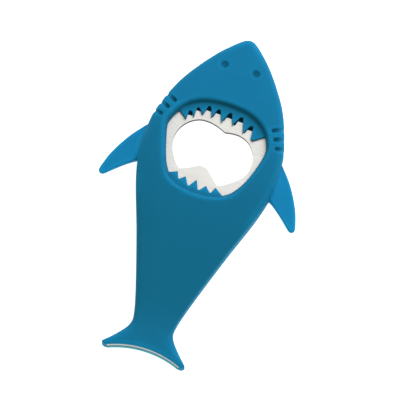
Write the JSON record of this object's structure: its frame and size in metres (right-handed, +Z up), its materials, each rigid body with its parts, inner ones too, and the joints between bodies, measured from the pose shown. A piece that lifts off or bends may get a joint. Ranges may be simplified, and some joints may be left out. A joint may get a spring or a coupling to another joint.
{
  "type": "bottle opener",
  "caption": "Flat hand-held bottle opener: a steel plate with a cap opening, inside a fish-shaped silicone sleeve with fins, a forked tail and a toothed mouth.",
  "frame": {"origin": "centre of the footprint, on the flat back face that the opener lies on", "axes": "+Y from the tail to the nose, +X across the fins, +Z up out of the front face with the mouth"},
  "size_m": [0.089, 0.15, 0.01],
  "materials": {
    "silicone": "satin moulded silicone, slightly translucent where it is thin",
    "stainless_steel": "fine satin"
  },
  "bodies": {
    "root": {"opener_plate": "stainless_steel", "silicone_sleeve": "silicone"}
  },
  "joints": []
}
